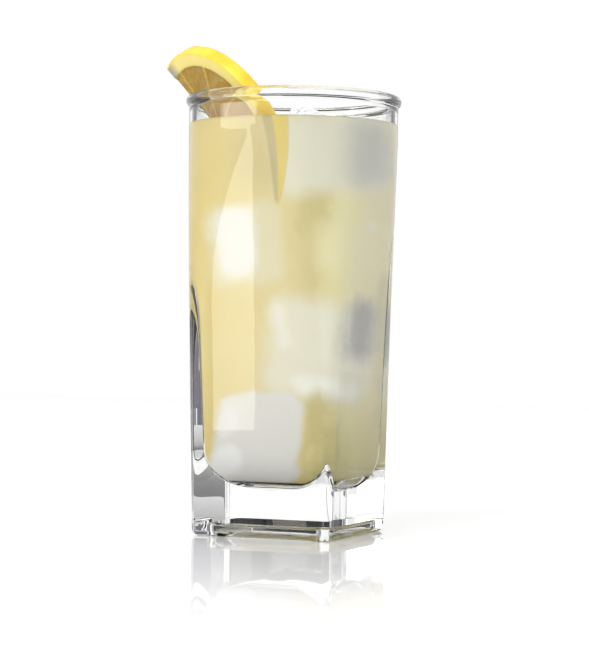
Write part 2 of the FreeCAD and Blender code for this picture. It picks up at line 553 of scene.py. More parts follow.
@dataclass(frozen=True)
class SunkIce(Finish):
    """Ice under the surface: pale, with greyer veins."""

    index: float = 1.31
    pale: Colour = tint(246, 246, 242)
    shade: Colour = tint(206, 208, 214)
    vein_mm: float = 7.0

    def milky(self, graph: Graph, where: bpy.types.NodeSocket) -> bpy.types.NodeSocket:
        """The pale, veined ice's shader.

        Args:
            graph: the material's graph.
            where: the coordinates that its veins are read at.

        Returns:
            The shader.
        """
        veins = graph.noise(where, 1 / self.vein_mm, 3.0, 1.2)
        colour = graph.blend(veins.rise(0.45, 0.72), self.pale, self.shade)
        return graph.principled({"Base Color": colour, "Roughness": 0.35, "IOR": self.index,
                                 "Normal": graph.bump(veins, 0.6, 0.6)})

    def material(self) -> bpy.types.Material:
        """Builds the material.

        Returns:
            The material.
        """
        material, graph = self.begin()
        self.end(graph, self.milky(graph, self.place(graph)))
        return material


@dataclass(frozen=True)
class FloatingIce(SunkIce):
    """Ice that stands out of the drink: clear and rippled in the air, with painted shade in dark folds, pale
    below the surface.
    """

    clear: Colour = tint(250, 252, 255)
    # fold_shade: near-black painted shade in folded lines over the clear part
    fold_shade: Colour = tint(12, 13, 12)
    fold_share: float = 0.35
    ripple_mm: float = 4.0
    ripple_height_mm: float = 1.2
    fold_mm: float = 6.5
    folds: float = 7.0
    clear_depth: tuple[float, float] = (1.0, 3.5)  # mm below the fill level, from clear to pale

    def material(self) -> bpy.types.Material:
        """Builds the material.

        Returns:
            The material.
        """
        material, graph = self.begin()
        where = self.place(graph)
        _, _, up = graph.parts(where)
        ripple = graph.noise(where, 1 / self.ripple_mm, 2.0, 1.5)
        folded = graph.noise(where, 1 / self.fold_mm, 3.0, 2.4) * self.folds
        # painted shade: dark folded lines in the clear ice
        dark = (folded.join("FRACT") - 0.5).size().rise(0.30, 0.46) * self.fold_share
        clear = graph.principled({
            "Base Color": graph.blend(dark, self.clear, self.fold_shade), "Roughness": 0.02,
            "IOR": self.index, "Transmission Weight": 1.0,
            "Normal": graph.bump(ripple, self.ripple_height_mm)})
        first, last = (FILL_LEVEL / MM - depth for depth in self.clear_depth)
        self.end(graph, graph.layered(up.rise(first, last), clear, self.milky(graph, where)))
        return material


@dataclass(frozen=True)
class LemonFinish(Finish):
    """A cut lemon: yellow peel, pale pith and darker wet flesh in segments, with painted shade towards the
    upper tip.
    """

    radius_mm: float
    flesh_mm: float
    segments: int
    segment_start: float
    peel_mm: float = 1.1
    core_mm: float = 1.8
    peel: Colour = tint(248, 216, 58)
    peel_deep: Colour = tint(240, 198, 36)
    pith: Colour = tint(240, 222, 128)
    # pith_shade: painted shade, the grey of the pith near the upper tip's cut edge
    pith_shade: Colour = tint(150, 146, 146)
    flesh: Colour = tint(168, 132, 34)
    flesh_pale: Colour = tint(194, 160, 78)
    membrane: float = 0.30

    def material(self) -> bpy.types.Material:
        """Builds the material.

        Returns:
            The material.
        """
        material, graph = self.begin()
        own = graph.add("ShaderNodeUVMap", {"uv_map": "slice"}).outputs[0]
        grown = graph.add("ShaderNodeMapping", inputs={
            "Vector": own, "Scale": (self.radius_mm, self.radius_mm, 1.0)}).outputs[0]
        along, crown, _ = graph.parts(grown)
        where = self.place(graph)
        grain = graph.noise(where, 1 / 1.6, 3.0)
        broad = graph.noise(where, 1 / 9.0, 2.0)
        reach = (along * along + crown * crown).root()
        turn = graph.maths("ARCTAN2", crown, along)
        piece = turn * (self.segments / (2 * math.pi)) + self.segment_start
        off = (piece - graph.maths("ROUND", piece)).size() * (2 * math.pi / self.segments)
        membrane = reach * off.sine() + (grain - 0.5) * 0.25
        inner = 1.0 - (1.0 - membrane.rise(0.15, 0.8)) * self.membrane
        inner = inner * (self.flesh_mm - reach + (grain - 0.5) * 0.6).rise(0.0, 0.8)
        inner = inner * reach.rise(self.core_mm, self.core_mm + 1.2)
        sacs = graph.add("ShaderNodeTexVoronoi", {"feature": "F1"}, {
            "Vector": graph.vector(turn * 9.0, reach * 0.28, 0.0), "Scale": 2.0})
        cells = Term(graph, sacs.outputs["Distance"])
        # tone: the flesh's own cells, and painted shade that darkens it towards the upper tip
        tone = (cells.rise(0.1, 0.7) * 0.35 + along.rise(2.0, -20.0) * 0.5 + 0.15).least(1.0)
        flesh = graph.blend(tone, self.flesh_pale, self.flesh)
        outer = reach.rise(self.radius_mm - self.peel_mm - 0.5, self.radius_mm - self.peel_mm + 0.2)
        skin = graph.blend(broad.rise(0.3, 0.7), self.peel, self.peel_deep)
        # painted shade: the pith goes grey near the upper tip's cut edge
        shaded = crown.rise(7.0, 1.0) * along.rise(-16.0, -24.0)
        pith = graph.blend(shaded * 0.85, self.pith, self.pith_shade)
        colour = graph.blend(inner, pith, flesh)
        colour = graph.blend(outer, colour, skin)
        pores = graph.add("ShaderNodeTexVoronoi", {"feature": "SMOOTH_F1"}, {
            "Vector": where, "Scale": 0.8})
        dimple = Term(graph, pores.outputs["Distance"]).rise(0.0, 0.5) * outer
        height = dimple * 0.6 + inner * cells * 0.8 + grain * 0.25
        self.end(graph, graph.principled({
            "Base Color": colour, "Roughness": 0.42 - inner * 0.22, "Normal": graph.bump(height, 0.25, 0.7),
            "Subsurface Weight": 0.15, "Subsurface Radius": (1.0, 0.7, 0.2),
            "Subsurface Scale": 1.5 * MM}))
        return material


# ---------------------------------------------------------------- the tumbler's form

@dataclass(frozen=True)
class Row:
    """One level section of a squared form."""

    half_side: float
    corner: float
    height: float


@dataclass(frozen=True)
class TumblerForm:
    """The rule by which the tumbler turns from a square foot to a round rim."""

    height: float = GLASS_HIGH[2]
    lip_proud: float = 1.0 * MM
    rim: float = GLASS_HIGH[0] - lip_proud  # outer wall under the lip
    round_height: float = 128.0 * MM
    base_half: float = 24.3 * MM
    base_corner: float = 2.4 * MM
    side_lean: float = 2.2 * MM
    side_flare: float = 3.5
    corner_flare: float = 3.6
    foot_rounding: float = 2.2 * MM
    lip_depth: float = 3.2 * MM
    crest_flat: float = 0.4 * MM
    rim_wall: float = 2.0 * MM
    foot_wall: float = 4.6 * MM
    floor: float = FLOOR_OF_DRINK
    floor_dish: float = 14.0 * MM
    dish_power: float = 2.5
    cavity_corner_share: float = 0.14
    cavity_corner_flare: float = 2.6
    floor_flat_share: float = 0.16
    punt_half: float = 20.5 * MM
    punt_corner: float = 5.0 * MM
    punt_depth: float = 4.2 * MM
    punt_rounding: float = 1.0 * MM
    smallest_corner: float = 0.72 * MM
    punt_edge: float = 0.12 * MM  # the tiny bevel where the punt meets the foot
    foot_flat: float = 0.8 * MM

    def share(self, height: float) -> float:
        """How far up the square part a height is, 0 to 1."""
        return min(1.0, max(0.0, height) / self.round_height)

    def outer(self, height: float) -> Row:
        """The outer section at a height.

        Args:
            height: height over the underside.

        Returns:
            The section.
        """
        share = self.share(height)
        flare = self.rim - self.base_half - self.side_lean
        half = self.base_half + self.side_lean * share + flare * share ** self.side_flare
        corner = self.base_corner + (self.rim - self.base_corner) * share ** self.corner_flare
        return Row(half, corner, height)

    def cavity(self, height: float) -> Row:
        """The cavity's section at a height above its floor.

        Args:
            height: height over the underside.

        Returns:
            The section.
        """
        share = self.share(height)
        full = self.outer(height).half_side - self.rim_wall
        full -= (self.foot_wall - self.rim_wall) * (1 - share) ** 2
        lift = (height - self.floor) / self.floor_dish
        if lift < 1:
            curve = (1 - (1 - max(lift, 0.0)) ** self.dish_power) ** (1 / self.dish_power)
            full *= max(curve, self.floor_flat_share)
        squared = self.cavity_corner_share
        corner = full * (squared + (1 - squared) * share ** self.cavity_corner_flare)
        return Row(full, corner, height)

    def foot_rows(self, steps: int = 8) -> list[Row]:
        """The rounded edge that the glass stands on.

        Args:
            steps: how many rows the curved part has.

        Returns:
            The rows, from the underside up.
        """
        rows = []
        for step in range(steps + 1):
            angle = QUARTER * step / steps
            inset = self.foot_rounding * (1 - math.sin(angle))
            height = self.foot_rounding * (1 - math.cos(angle))
            outer = self.outer(height)
            rows.append(Row(outer.half_side - inset, max(outer.corner - inset, self.smallest_corner),
                            height))
        return rows

    def punt_rows(self, steps: int = 5) -> list[Row]:
        """The hollow under the base, from its middle to the foot.

        Args:
            steps: how many rows the curved part has.

        Returns:
            The rows, from its middle outwards.
        """
        top = self.punt_half - self.punt_rounding
        rows = [Row(top * share, self.punt_corner * share, self.punt_depth)
                for share in (0.0, 0.25, 0.5, 0.75, 0.97)]
        for step in range(steps + 1):
            angle = QUARTER * step / steps
            inset = self.punt_rounding * (1 - math.sin(angle))
            height = self.punt_depth - self.punt_rounding * (1 - math.cos(angle))
            rows.append(Row(self.punt_half - inset, self.punt_corner - inset, height))
        edge, flat = self.punt_edge, self.foot_flat
        rows.append(Row(self.punt_half, self.punt_corner, edge))
        rows.append(Row(self.punt_half + edge, self.punt_corner + edge, 0.0))
        rows.append(Row(self.punt_half + flat, self.punt_corner - 2.5 * flat, 0.0))
        return rows

    def wall_rows(self, steps: int = 84) -> list[Row]:
        """The outer wall, from the foot to under the lip.

        Args:
            steps: how many rows the curved part has.

        Returns:
            The rows, from the foot up.
        """
        top = self.height - self.lip_depth - 2 * self.lip_proud
        low = self.foot_rounding
        return [self.outer(low + (top - low) * step / steps) for step in range(1, steps + 1)]

    def lip_rows(self, steps: int = 20) -> list[Row]:
        """The bead at the rim, over its crest and down the inside.

        Args:
            steps: how many rows the curved part has.

        Returns:
            The rows, from outside over the crest to the bore.
        """
        crest = self.rim - self.rim_wall / 2 + self.crest_flat / 2
        rows = []
        for step in range(steps + 1):
            angle = QUARTER * (2 * step / steps - 1)
            foot = self.rim if angle < 0 else crest
            radius = foot + (self.rim + self.lip_proud - foot) * math.cos(angle)
            height = self.height + self.lip_depth / 2 * (math.sin(angle) - 1)
            rows.append(Row(radius, radius, height))
        bore, mouth = self.rim - self.rim_wall, crest - self.crest_flat
        for step in range(6, -1, -1):
            angle = QUARTER * step / 6
            radius = bore + (mouth - bore) * (1 - math.cos(angle))
            rows.append(Row(radius, radius, self.height + (mouth - bore) * (math.sin(angle) - 1)))
        return rows

    def bore_rows(self, top: float, steps: int = 84, dish_steps: int = 22) -> list[Row]:
        """The cavity from a height down to the middle of its floor.

        Args:
            top: the height where the rows start.
            steps: rows down the wall.
            dish_steps: rows down the dished floor.

        Returns:
            The rows, ending in one point.
        """
        knee = self.floor + self.floor_dish
        rows = [self.cavity(top + (knee - top) * step / steps) for step in range(steps)]
        for step in range(dish_steps, -1, -1):
            rows.append(self.cavity(self.floor + self.floor_dish * (step / dish_steps) ** 2))
        flat = rows[-1]
        for share in (0.7, 0.4, 0.0):
            rows.append(Row(flat.half_side * share, flat.corner * share, self.floor))
        return rows


def column_bearings(half_count: int = 20, crowding: float = 1.7) -> list[float]:
    """Bearings of a section's points, closer together at the four corners.

    Args:
        half_count: points between the middle of a flat and its corner.
        crowding: how much closer they are at the corner.

    Returns:
        The bearings round the whole section, in radians.
    """
    half = [QUARTER / 2 * (1 - (1 - step / half_count) ** crowding) for step in range(half_count + 1)]
    quarter = half[:-1] + [QUARTER - bearing for bearing in reversed(half[1:])]
    return [bearing + QUARTER * turn for turn in range(4) for bearing in quarter]


def squared_form_tree(name: str, material: bpy.types.Material) -> bpy.types.NodeTree:
    """The Geometry Nodes tree that bends unit circles into the rounded squares of their rows.

    Each point carries its row's half side and corner radius. The tree's inputs are Swell, which moves
    the whole surface outwards, and Finish, the material.

    Args:
        name: the tree's name.
        material: the material it sets.

    Returns:
        The tree.
    """
    tree = bpy.data.node_groups.new(name, "GeometryNodeTree")
    face = tree.interface
    face.new_socket("Geometry", in_out="INPUT", socket_type="NodeSocketGeometry")
    face.new_socket("Swell", in_out="INPUT", socket_type="NodeSocketFloat").default_value = 0.0
    face.new_socket("Finish", in_out="INPUT", socket_type="NodeSocketMaterial").default_value = material
    face.new_socket("Geometry", in_out="OUTPUT", socket_type="NodeSocketGeometry")
    graph = Graph(tree)
    source = graph.add("NodeGroupInput")
    swell = Term(graph, source.outputs["Swell"])

    def carried(attribute: str) -> Term:
        """A number that each point carries."""
        node = graph.add("GeometryNodeInputNamedAttribute", {"data_type": "FLOAT"}, {"Name": attribute})
        return Term(graph, node.outputs[0])

    x, y, z = graph.parts(graph.add("GeometryNodeInputPosition").outputs[0])
    bearing = graph.maths("ARCTAN2", y, x)
    quarters = bearing * (1 / QUARTER)
    folded = (quarters - graph.maths("ROUND", quarters)).size() * QUARTER
    cosine, sine = folded.cosine(), folded.sine()
    gate = carried("half_side").above(1e-7)
    half = (carried("half_side") + swell) * gate
    corner = (carried("corner") + swell) * gate
    reach = half - corner
    flat = half / cosine
    bend = (reach * (cosine + sine)) + (corner * corner - (reach * (cosine - sine)) ** 2.0).root()
    on_flat = (reach * cosine - half * sine).above(0.0)
    radius = flat * on_flat + bend * (1.0 - on_flat)
    moved = graph.add("GeometryNodeSetPosition", inputs={
        "Geometry": source.outputs["Geometry"],
        "Position": graph.vector(bearing.cosine() * radius, bearing.sine() * radius, z)})
    realized = graph.add("GeometryNodeRealizeInstances", inputs={"Geometry": moved.outputs[0]})
    dressed = graph.add("GeometryNodeSetMaterial", inputs={
        "Geometry": realized.outputs[0], "Material": source.outputs["Finish"]})
    graph.add("NodeGroupOutput", inputs={"Geometry": dressed.outputs[0]})
    return tree


def set_inputs(modifier: bpy.types.Modifier, values: dict[str, Any]) -> None:
    """Sets a Geometry Nodes modifier's inputs by their sockets' identifiers.

    Args:
        modifier: the modifier.
        values: values by input name.
    """
    for item in modifier.node_group.interface.items_tree:
        if item.item_type == "SOCKET" and item.in_out == "INPUT" and item.name in values:
            modifier[item.identifier] = values[item.name]


def show(name: str, data: Any) -> bpy.types.Object:
    """Puts a mesh, lamp or camera into the scene as an object of that name.

    Args:
        name: the object's name.
        data: its mesh, lamp or camera.

    Returns:
        The object.
    """
    obj = bpy.data.objects.new(name, data)
    bpy.context.scene.collection.objects.link(obj)
    return obj


def declare(piece: bpy.types.Object, node: Optional[str] = None) -> bpy.types.Object:
    """Hangs a piece on the one body and hides the frame's node that it replaces.

    Args:
        piece: the piece, which rides the one body.
        node: the frame's node that it replaces, if there is one.

    Returns:
        The piece.
    """
    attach(piece, "root")
    if node:
        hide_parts(node)
    return piece


def settle(obj: bpy.types.Object, name: str) -> bpy.types.Object:
    """Turns an object with live modifiers into a plain mesh.

    Args:
        obj: the object, which is removed.
        name: the new piece's name.

    Returns:
        The plain object.
    """
    bpy.context.view_layer.update()
    graph = bpy.context.evaluated_depsgraph_get()
    mesh = bpy.data.meshes.new_from_object(obj.evaluated_get(graph), depsgraph=graph)
    bpy.data.objects.remove(obj)
    return place_mesh(mesh, name)


def place_mesh(mesh: bpy.types.Mesh, name: str) -> bpy.types.Object:
    """Puts a mesh into the scene, smooth shaded.

    Args:
        mesh: the mesh.
        name: the piece's name.

    Returns:
        The object.
    """
    mesh.name = name
    for polygon in mesh.polygons:
        polygon.use_smooth = True
    return show(name, mesh)


def squared_form(name: str, rows: Sequence[Row], material: bpy.types.Material,
                 swell: float = 0.0) -> bpy.types.Object:
    """Builds a closed form from its rows.

    Args:
        name: the piece's name.
        rows: its sections in order; a first or last row of no size is a single point.
        material: its material.
        swell: how far its surface is moved outwards.

    Returns:
        The object.
    """
    bearings = column_bearings()
    count = len(bearings)
    vertices: list[tuple[float, float, float]] = []
    halves: list[float] = []
    corners: list[float] = []
    starts: list[tuple[int, bool]] = []
    for row in rows:
        point = row.half_side <= 0.0
        starts.append((len(vertices), point))
        for bearing in bearings[:1] if point else bearings:
            vertices.append((math.cos(bearing), math.sin(bearing), row.height))
            halves.append(row.half_side)
            corners.append(row.corner)
    faces: list[tuple[int, ...]] = []
    for (low, low_point), (high, high_point) in zip(starts, starts[1:]):
        for column in range(count):
            after = (column + 1) % count
            if low_point:
                faces.append((low, high + after, high + column))
            elif high_point:
                faces.append((low + column, low + after, high))
            else:
                faces.append((low + column, low + after, high + after, high + column))
    mesh = bpy.data.meshes.new(name + "_rows")
    mesh.from_pydata(vertices, [], faces)
    for label, values in (("half_side", halves), ("corner", corners)):
        mesh.attributes.new(label, "FLOAT", "POINT").data.foreach_set("value", values)
    obj = show(name + "_rows", mesh)
    modifier = obj.modifiers.new("form", "NODES")
    modifier.node_group = squared_form_tree(name + "_form", material)
    set_inputs(modifier, {"Swell": swell, "Finish": material})
    piece = settle(obj, name)
    for label in ("half_side", "corner"):
        piece.data.attributes.remove(piece.data.attributes[label])
    return piece


# ---------------------------------------------------------------- the pieces

@dataclass
class Tumbler:
    """The clear glass, with its wall, bead, thick base and punt."""

    form: TumblerForm
    finish: ClearGlass

    def build(self) -> bpy.types.Object:
        """Returns:
            The glass.
        """
        form = self.form
        rows = form.punt_rows() + form.foot_rows() + form.wall_rows() + form.lip_rows()
        rows += form.bore_rows(form.height - form.rim_wall)
        return declare(squared_form("tumbler", rows, self.finish.material()), "glass")


@dataclass
class Drink:
    """The lemonade, reaching just into the wall so that no air shows between them."""

    form: TumblerForm
    finish: CloudyDrink
    level: float = FILL_LEVEL
    reach_into_wall: float = 0.12 * MM
    meniscus: float = 0.9 * MM
    meniscus_width: float = 2.4 * MM

    def surface_rows(self, steps: int = 10) -> list[Row]:
        """The top of the drink, from its middle out to where it climbs the wall.

        Args:
            steps: how many rows the curved part has.

        Returns:
            The rows.
        """
        edge = self.form.cavity(self.level).half_side
        rows = [Row(edge * share, edge * share, self.level) for share in (0.0, 0.3, 0.6, 0.8)]
        for step in range(steps + 1):
            share = step / steps
            radius = edge - self.meniscus_width * (1 - share)
            rows.append(Row(radius, radius, self.level + self.meniscus * share ** 2.6))
        return rows

    def build(self) -> bpy.types.Object:
        """Returns:
            The drink.
        """
        top = self.surface_rows()
        rows = list(reversed(self.form.bore_rows(self.level))) + list(reversed(top))
        drink = squared_form("drink", rows, self.finish.material(), self.reach_into_wall)
        return declare(drink, "lemonade")


def rounded_cube(side: float, rounding: float, cuts: int, place: Matrix,
                 melt: float, seed: float) -> bpy.types.Mesh:
    """A cube whose edges have melted round and whose faces have melted uneven.

    Args:
        side: its side.
        rounding: its edge radius.
        cuts: how finely each face is divided.
        place: where it goes in the row frame.
        melt: how uneven its faces are.
        seed: picks the unevenness.

    Returns:
        The mesh.
    """
    cube = bmesh.new()
    bmesh.ops.create_cube(cube, size=2.0)
    bmesh.ops.subdivide_edges(cube, edges=cube.edges[:], cuts=cuts, use_grid_fill=True)
    core = side / 2 - rounding
    shift = Vector((seed * 7.1, seed * 3.7, seed * 5.3))
    for vertex in cube.verts:
        spread = Vector([math.sin(value * QUARTER) for value in vertex.co]) * (side / 2)
        inner = Vector([max(-core, min(core, value)) for value in spread])
        out = (spread - inner).normalized()
        uneven = noise.noise(spread * (1 / (9 * MM)) + shift) + 0.4 * noise.noise(spread / (4 * MM) + shift)
        vertex.co = place @ (inner + out * (rounding + melt * uneven))
    bmesh.ops.recalc_face_normals(cube, faces=cube.faces[:])
    mesh = bpy.data.meshes.new("ice")
    cube.to_mesh(mesh)
    cube.free()
    return mesh


@dataclass
class IceCube:
    """One ice cube."""

    name: str
    middle: tuple[float, float, float]  # across, away and up, in mm
    peak: tuple[float, float, float]  # where one corner points
    spin: float  # degrees about that corner
    finish: Finish
    side: float = 27.0 * MM
    rounding: float = 4.0 * MM
    melt: float = 0.35 * MM
    cuts: int = 23
    node: Optional[str] = None

    def build(self) -> bpy.types.Object:
        """Returns:
            The cube.
        """
        peak = served(*self.peak).normalized()
        lift = Vector((1, 1, 1)).rotation_difference(peak).to_matrix().to_4x4()
        spin = Matrix.Rotation(math.radians(self.spin), 4, peak)
        across, away, up = self.middle
        place = Matrix.Translation(served(across * MM, away * MM, up * MM)) @ spin @ lift
        mesh = rounded_cube(self.side, self.rounding, self.cuts, place, self.melt, sum(self.middle))
        mesh.materials.append(self.finish.material())
        return declare(place_mesh(mesh, self.name), self.node)


def add_face(solid: bmesh.types.BMesh, *corners: bmesh.types.BMVert) -> None:
    """Adds a face, with corners that fall together taken as one; fewer than three make none.

    Args:
        solid: the mesh that is built.
        corners: the face's corners in order.
    """
    unique = list(dict.fromkeys(corners))
    if len(unique) > 2:
        solid.faces.new(unique)


@dataclass
class LemonSlice:
    """The half slice: peel, pith and flesh with its segments."""

    radius: float = 29.9 * MM
    thickness: float = 4.6 * MM
    taper: float = 0.4 * MM
    middle: tuple[float, float, float] = (-23.4, -1.5, 129.3)  # across, away and up, in mm
    down: tuple[float, float, float] = (0.629, -0.192, -0.753)
    crown: tuple[float, float, float] = (0.257, -0.863, 0.435)
    flesh_share: float = 0.835
    segments: int = 10
    segment_start: float = 0.32
    relief: float = 0.45 * MM
    relief_width: float = 1.1 * MM
    edge: float = 0.9 * MM
    ripple: float = 0.006
    tip_ripple: float = 0.012
    tip_from: float = 2.2  # the bearing, in radians, where the upper tip starts
    around: int = 150
    outwards: int = 44
    across_peel: int = 10

    def axes(self) -> Matrix:
        """The slice's own axes and place: along its cut edge, to its crown and out of its front.

        Returns:
            The axes and the place as one matrix.
        """
        down = served(*self.down).normalized()
        crown = served(*self.crown)
        crown = (crown - down * crown.dot(down)).normalized()
        front = down.cross(crown)
        across, away, up = self.middle
        place = served(across * MM, away * MM, up * MM)
        return Matrix((
            (down.x, crown.x, front.x, place.x), (down.y, crown.y, front.y, place.y),
            (down.z, crown.z, front.z, place.z), (0, 0, 0, 1)))

    def flesh_depth(self, reach: float, angle: float) -> float:
        """How far the cut face lies below its pith at a point.

        Args:
            reach: distance from the slice's centre, over its radius.
            angle: bearing round the slice.

        Returns:
            The depth.
        """
        piece = angle * self.segments / (2 * math.pi) + self.segment_start
        off = abs(piece - round(piece)) * 2 * math.pi / self.segments
        from_membrane = reach * self.radius * math.sin(off)
        from_pith = (self.flesh_share - reach) * self.radius
        inside = min(from_membrane, from_pith)
        if inside <= 0:
            return 0.0
        share = min(1.0, inside / self.relief_width)
        return self.relief * share * share * (3 - 2 * share)

    def loop(self, angle: float, swell: float) -> list[tuple[float, float]]:
        """Half the slice's section at a bearing, as distance out and height, from front to back middle.

        Args:
            angle: the bearing round the slice.
            swell: the outline's unevenness there.

        Returns:
            Distances out and heights.
        """
        points = []
        edge, half = self.edge, self.thickness / 2
        front_radius = (self.radius - self.taper) * swell
        back_radius = self.radius * swell
        for step in range(self.outwards + 1):
            share = step / self.outwards
            reach = (front_radius - edge) * share
            points.append((reach, half - self.flesh_depth(reach / self.radius, angle)))
        for step in range(1, self.across_peel):
            turn = math.pi * step / self.across_peel
            blend = (1 - math.cos(turn)) / 2
            radius = front_radius + (back_radius - front_radius) * blend - edge
            points.append((radius + edge * math.sin(turn) ** 0.7, half * math.cos(turn)))
        for step in range(self.outwards, -1, -1):
            share = step / self.outwards
            reach = (back_radius - edge) * share
            points.append((reach, -half + self.flesh_depth(reach / self.radius, angle)))
        return points

    def swell(self, angle: float) -> float:
        """How uneven the slice's outline is at a bearing, as a share of its radius.

        Args:
            angle: the bearing round the slice.

        Returns:
            The factor on the radius.
        """
        ripple = noise.noise(Vector((3.1 * angle, 0.7, 4.2)))
        ripple += 0.5 * noise.noise(Vector((8.0 * angle, 2.7, 1.2)))
        tip = max(0.0, (angle - self.tip_from) / (math.pi - self.tip_from))
        return 1 + self.ripple * ripple + self.tip_ripple * ripple * tip

    def build(self) -> bpy.types.Object:
        """Returns:
            The slice.
        """
        axes = self.axes()
        solid = bmesh.new()
        chart = solid.loops.layers.uv.new("slice")
        flat: dict[bmesh.types.BMVert, tuple[float, float]] = {}
        front_middle = solid.verts.new(axes @ Vector((0, 0, 0)))
        back_middle = solid.verts.new(axes @ Vector((0, 0, -self.thickness)))
        flat[front_middle] = flat[back_middle] = (0.0, 0.0)
        columns = []
        for step in range(self.around + 1):
            angle = math.pi * step / self.around
            column = []
            for reach, height in self.loop(angle, self.swell(angle)):
                if reach <= 0:
                    column.append(front_middle if height > 0 else back_middle)
                    continue
                x, y = reach * math.cos(angle), reach * math.sin(angle)
                vertex = solid.verts.new(axes @ Vector((x, y, height - self.thickness / 2)))
                flat[vertex] = (x / self.radius, y / self.radius)
                column.append(vertex)
            columns.append(column)
        for one, other in zip(columns, columns[1:]):
            for index in range(len(one) - 1):
                add_face(solid, one[index], other[index], other[index + 1], one[index + 1])
        for column in (columns[0], columns[-1]):
            for low in range(len(column) // 2):
                high = len(column) - 1 - low
                if high - low > 1:
                    add_face(solid, column[low], column[low + 1], column[high - 1], column[high])
        bmesh.ops.recalc_face_normals(solid, faces=solid.faces[:])
        for face in solid.faces:
            for loop in face.loops:
                loop[chart].uv = flat[loop.vert]
        mesh = bpy.data.meshes.new("lemon")
        solid.to_mesh(mesh)
        solid.free()
        finish = LemonFinish("lemon_cut", self.radius / MM, self.radius * self.flesh_share / MM,
                             self.segments, self.segment_start)
        mesh.materials.append(finish.material())
        return declare(place_mesh(mesh, "lemon_half_slice"), "lemon_slice")


# ---------------------------------------------------------------- the studio

class Seen(Enum):
    """How a studio card shows."""

    IN_GLASS = "through the glass only"
    MIRRORED = "through the glass and in reflections"


@dataclass
class Card:
    """A curved studio card that stands upright round the object."""

    name: str
    rows: tuple[tuple[float, float, float], ...]  # height, and the bearings of its left and right edge
    shade: Colour
    top_shade: Optional[Colour] = None  # at its top, if that differs
    glow: float = 1.0
    distance: float = 0.30
    seen: Seen = Seen.IN_GLASS

    def build(self) -> bpy.types.Object:
        """Builds the card, which the camera does not see.

        Bearings are in degrees: 0 is straight behind the object, 90 is to its right.

        Returns:
            The card.
        """
        widest = max(abs(stop - start) for _, start, stop in self.rows)
        count = max(2, math.ceil(widest / 4))
        corners: list[Vector] = []
        for height, start, stop in self.rows:
            for step in range(count + 1):
                bearing = math.radians(start + (stop - start) * step / count)
                corners.append(served(self.distance * math.sin(bearing), self.distance * math.cos(bearing),
                                      height))
        faces = []
        for row in range(len(self.rows) - 1):
            for step in range(count):
                first = row * (count + 1) + step
                faces.append((first, first + 1, first + count + 2, first + count + 1))
        mesh = bpy.data.meshes.new(self.name)
        mesh.from_pydata(corners, [], faces)
        card = show(self.name, mesh)
        finish = Finish(self.name)
        material, graph = finish.begin()
        _, _, up = graph.parts(graph.add("ShaderNodeTexCoord").outputs["Object"])
        top = self.shade if self.top_shade is None else self.top_shade
        shade = graph.blend(up.rise(self.rows[0][0], self.rows[-1][0]), self.shade, top)
        shade = graph.blend(graph.unscattered(), SOFT_WHITE, shade)
        glow = graph.add("ShaderNodeEmission", inputs={"Color": shade, "Strength": self.glow})
        finish.end(graph, glow.outputs[0])
        mesh.materials.append(material)
        card.visible_camera = card.visible_diffuse = card.visible_shadow = False
        card.visible_glossy = self.seen is Seen.MIRRORED
        return card


@dataclass(frozen=True)
class DarkSector:
    """Painted shade on the floor that shows through the glass only.

    It lies between two bearings in degrees, or between two places aside in metres.
    """

    first: float  # where it starts to darken
    start: float
    stop: float
    last: float  # where it is pale again
    depth: float

    def mask(self, place: Term) -> Term:
        """How dark the floor is at a bearing or place."""
        return place.rise(self.first, self.start) * place.rise(self.last, self.stop) * self.depth


